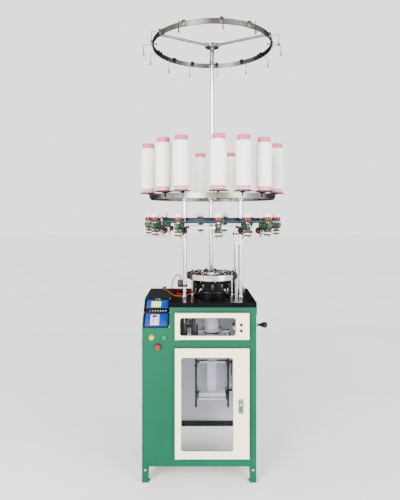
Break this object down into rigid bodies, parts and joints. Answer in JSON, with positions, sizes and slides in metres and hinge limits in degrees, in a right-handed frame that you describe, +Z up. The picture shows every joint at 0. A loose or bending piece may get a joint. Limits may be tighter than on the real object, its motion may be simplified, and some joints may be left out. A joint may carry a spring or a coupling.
{
  "type": "circular knitting machine",
  "caption": "Small-diameter circular knitting machine: cabinet with control console, needle cylinder, ring of tape-driven yarn feeders, round yarn creel and top ring of yarn guides.",
  "frame": {"origin": "the needle cylinder's axis at floor level, the middle of the round tower", "axes": "+Z up; -Y is the front with the doors and console; +X is the operator's right, where the crank is"},
  "size_m": [0.8617, 0.8596, 2.511],
  "materials": {
    "green_paint": "powder coated, satin",
    "ivory_paint": "powder coated, satin",
    "grey_paint": "primer grey",
    "black_enamel": "gloss enamel",
    "blue_paint": "satin",
    "motor_paint": "satin",
    "chrome": "polished",
    "steel": "turned",
    "cast_iron": "machined",
    "aluminium": "satin",
    "dark_steel": "blackened",
    "window_glass": "clear",
    "lamp_glass": "opal",
    "console_black": "moulded",
    "console_light": "moulded",
    "yellow_plastic": "moulded",
    "green_plastic": "moulded",
    "red_plastic": "moulded",
    "feeder_plastic": "moulded",
    "wheel_plastic": "moulded",
    "black_plastic": "moulded",
    "rubber": "matt",
    "hose_rubber": "smooth",
    "tape": "woven tape",
    "knit": "knitted",
    "paper_tube": "coated paper",
    "yarn": "wound yarn"
  },
  "bodies": {
    "frame": {"front_frame": "green_paint", "side_panels": "green_paint", "inner_panels": "grey_paint", "legs": "green_paint", "table_plate": "black_enamel", "console_frame": "console_black", "console_instruments": "console_light", "door_pivots": "steel", "motor": "motor_paint", "drive_belt": "rubber", "bearing_housings": "cast_iron", "cam_box": "black_enamel", "carrier_ring": "steel", "yarn_fingers": "aluminium", "table_fittings": "black_plastic", "posts": "chrome", "feeder_ring": "blue_paint", "feeder_bodies": "feeder_plastic", "feeder_belts": "tape", "ring_lamp": "lamp_glass", "creel_ring": "steel", "yarn_tubes": "paper_tube", "yarn_packages": "yarn", "top_ring": "steel", "yarn_hooks": "dark_steel", "hose_red": "hose_rubber", "hose_tan": "hose_rubber"},
    "cylinder": {"needle_cylinder": "steel", "needles": "chrome", "cylinder_gear": "steel", "takedown_frame": "steel", "fabric_tube": "knit"},
    "front_roller": {"roller_front": "rubber"},
    "rear_roller": {"roller_rear": "rubber"},
    "pinion_shaft": {"pinion_shaft": "steel"},
    "motor_shaft": {"motor_pulley": "steel"},
    "feeder_shaft": {"feeder_shaft": "chrome"},
    "crank": {"crank": "black_enamel"},
    "crank_grip": {"crank_grip": "black_plastic"},
    "tape_wheel": {"tape_wheel": "red_plastic"},
    "upper_door": {"upper_door": "ivory_paint", "upper_window": "window_glass", "upper_locks": "chrome"},
    "lower_door": {"lower_door": "ivory_paint", "lower_window": "window_glass"},
    "lower_latch": {"lower_latch": "cast_iron"},
    "button_yellow": {"button_yellow": "yellow_plastic"},
    "button_green": {"button_green": "green_plastic"},
    "button_red": {"button_red": "red_plastic"},
    "feeder_wheel_1": {"feeder_wheel_1": "wheel_plastic"},
    "feeder_wheel_2": {"feeder_wheel_2": "wheel_plastic"},
    "feeder_wheel_3": {"feeder_wheel_3": "wheel_plastic"},
    "feeder_wheel_4": {"feeder_wheel_4": "wheel_plastic"},
    "feeder_wheel_5": {"feeder_wheel_5": "wheel_plastic"},
    "feeder_wheel_6": {"feeder_wheel_6": "wheel_plastic"},
    "feeder_wheel_7": {"feeder_wheel_7": "wheel_plastic"},
    "feeder_wheel_8": {"feeder_wheel_8": "wheel_plastic"},
    "feeder_wheel_9": {"feeder_wheel_9": "wheel_plastic"},
    "feeder_wheel_10": {"feeder_wheel_10": "wheel_plastic"},
    "feeder_wheel_11": {"feeder_wheel_11": "wheel_plastic"}
  },
  "joints": [
    {"name": "cylinder_spin", "type": "hinge", "parent": "frame", "child": "cylinder", "pos_m": [0, 0, 1], "axis": [0, 0, 1], "continuous": true},
    {"name": "front_roller_spin", "type": "hinge", "parent": "cylinder", "child": "front_roller", "pos_m": [0, -0.0165, 0.396], "axis": [1, 0, 0], "continuous": true},
    {"name": "rear_roller_spin", "type": "hinge", "parent": "cylinder", "child": "rear_roller", "pos_m": [0, 0.0165, 0.396], "axis": [1, 0, 0], "continuous": true},
    {"name": "pinion_shaft_spin", "type": "hinge", "parent": "frame", "child": "pinion_shaft", "pos_m": [-0.146, 0, 0.85], "axis": [0, 0, 1], "continuous": true},
    {"name": "motor_spin", "type": "hinge", "parent": "frame", "child": "motor_shaft", "pos_m": [-0.318, 0, 0.8], "axis": [0, 0, 1], "continuous": true},
    {"name": "feeder_shaft_spin", "type": "hinge", "parent": "frame", "child": "feeder_shaft", "pos_m": [0.146, 0, 1], "axis": [0, 0, 1], "continuous": true},
    {"name": "crank_turn", "type": "hinge", "parent": "frame", "child": "crank", "pos_m": [0.24, 0, 0.838], "axis": [1, 0, 0], "continuous": true},
    {"name": "grip_spin", "type": "hinge", "parent": "crank", "child": "crank_grip", "pos_m": [0.285, -0.116, 0.838], "axis": [1, 0, 0], "continuous": true},
    {"name": "tape_wheel_spin", "type": "hinge", "parent": "frame", "child": "tape_wheel", "pos_m": [0.26052, 0.27938, 1.45], "axis": [0, 0, 1], "continuous": true},
    {"name": "upper_door_swing", "type": "hinge", "parent": "frame", "child": "upper_door", "pos_m": [-0.204, -0.2495, 0.858], "axis": [0, 0, -1], "range_deg": [0, 110]},
    {"name": "lower_door_swing", "type": "hinge", "parent": "frame", "child": "lower_door", "pos_m": [-0.204, -0.2495, 0.435], "axis": [0, 0, -1], "range_deg": [0, 110]},
    {"name": "lower_latch_turn", "type": "hinge", "parent": "lower_door", "child": "lower_latch", "pos_m": [0.1485, -0.2565, 0.44], "axis": [0, 1, 0], "range_deg": [0, 90]},
    {"name": "button_yellow_press", "type": "slide", "parent": "frame", "child": "button_yellow", "axis": [0, 1, 0], "range_m": [0, 0.0035], "stiffness_N_per_m": 400, "springref_m": -0.002},
    {"name": "button_green_press", "type": "slide", "parent": "frame", "child": "button_green", "axis": [0, 1, 0], "range_m": [0, 0.0035], "stiffness_N_per_m": 400, "springref_m": -0.002},
    {"name": "button_red_press", "type": "slide", "parent": "frame", "child": "button_red", "axis": [0, 1, 0], "range_m": [0, 0.005], "stiffness_N_per_m": 400, "springref_m": -0.002},
    {"name": "feeder_wheel_1_spin", "type": "hinge", "parent": "frame", "child": "feeder_wheel_1", "pos_m": [0.01999, -0.38148, 1.42], "axis": [0, 0, 1], "continuous": true},
    {"name": "feeder_wheel_2_spin", "type": "hinge", "parent": "frame", "child": "feeder_wheel_2", "pos_m": [0.17342, -0.34036, 1.42], "axis": [0, 0, 1], "continuous": true},
    {"name": "feeder_wheel_3_spin", "type": "hinge", "parent": "frame", "child": "feeder_wheel_3", "pos_m": [0.29687, -0.2404, 1.42], "axis": [0, 0, 1], "continuous": true},
    {"name": "feeder_wheel_4_spin", "type": "hinge", "parent": "frame", "child": "feeder_wheel_4", "pos_m": [0.37365, -0.07942, 1.42], "axis": [0, 0, 1], "continuous": true},
    {"name": "feeder_wheel_5_spin", "type": "hinge", "parent": "frame", "child": "feeder_wheel_5", "pos_m": [0.3633, 0.11804, 1.42], "axis": [0, 0, 1], "continuous": true},
    {"name": "feeder_wheel_6_spin", "type": "hinge", "parent": "frame", "child": "feeder_wheel_6", "pos_m": [0.09887, 0.36898, 1.42], "axis": [0, 0, 1], "continuous": true},
    {"name": "feeder_wheel_7_spin", "type": "hinge", "parent": "frame", "child": "feeder_wheel_7", "pos_m": [-0.06633, 0.3762, 1.42], "axis": [0, 0, 1], "continuous": true},
    {"name": "feeder_wheel_8_spin", "type": "hinge", "parent": "frame", "child": "feeder_wheel_8", "pos_m": [-0.30508, 0.22989, 1.42], "axis": [0, 0, 1], "continuous": true},
    {"name": "feeder_wheel_9_spin", "type": "hinge", "parent": "frame", "child": "feeder_wheel_9", "pos_m": [-0.38177, 0.01333, 1.42], "axis": [0, 0, 1], "continuous": true},
    {"name": "feeder_wheel_10_spin", "type": "hinge", "parent": "frame", "child": "feeder_wheel_10", "pos_m": [-0.32395, -0.20243, 1.42], "axis": [0, 0, 1], "continuous": true},
    {"name": "feeder_wheel_11_spin", "type": "hinge", "parent": "frame", "child": "feeder_wheel_11", "pos_m": [-0.191, -0.33082, 1.42], "axis": [0, 0, 1], "continuous": true}
  ],
  "couplings": [
    {"joint": "front_roller_spin", "follows": "cylinder_spin", "ratio": 0.5},
    {"joint": "rear_roller_spin", "follows": "cylinder_spin", "ratio": -0.5},
    {"joint": "pinion_shaft_spin", "follows": "cylinder_spin", "ratio": -3.0556},
    {"joint": "motor_spin", "follows": "cylinder_spin", "ratio": -5.2963},
    {"joint": "feeder_shaft_spin", "follows": "cylinder_spin", "ratio": -3.0556},
    {"joint": "crank_turn", "follows": "cylinder_spin", "ratio": -3.0556},
    {"joint": "tape_wheel_spin", "follows": "cylinder_spin", "ratio": -3.8194},
    {"joint": "feeder_wheel_1_spin", "follows": "cylinder_spin", "ratio": -3.8194},
    {"joint": "feeder_wheel_2_spin", "follows": "cylinder_spin", "ratio": -3.8194},
    {"joint": "feeder_wheel_3_spin", "follows": "cylinder_spin", "ratio": -3.8194},
    {"joint": "feeder_wheel_4_spin", "follows": "cylinder_spin", "ratio": -3.8194},
    {"joint": "feeder_wheel_5_spin", "follows": "cylinder_spin", "ratio": -3.8194},
    {"joint": "feeder_wheel_6_spin", "follows": "cylinder_spin", "ratio": -3.8194},
    {"joint": "feeder_wheel_7_spin", "follows": "cylinder_spin", "ratio": -3.8194},
    {"joint": "feeder_wheel_8_spin", "follows": "cylinder_spin", "ratio": -3.8194},
    {"joint": "feeder_wheel_9_spin", "follows": "cylinder_spin", "ratio": -3.8194},
    {"joint": "feeder_wheel_10_spin", "follows": "cylinder_spin", "ratio": -3.8194},
    {"joint": "feeder_wheel_11_spin", "follows": "cylinder_spin", "ratio": -3.8194}
  ]
}
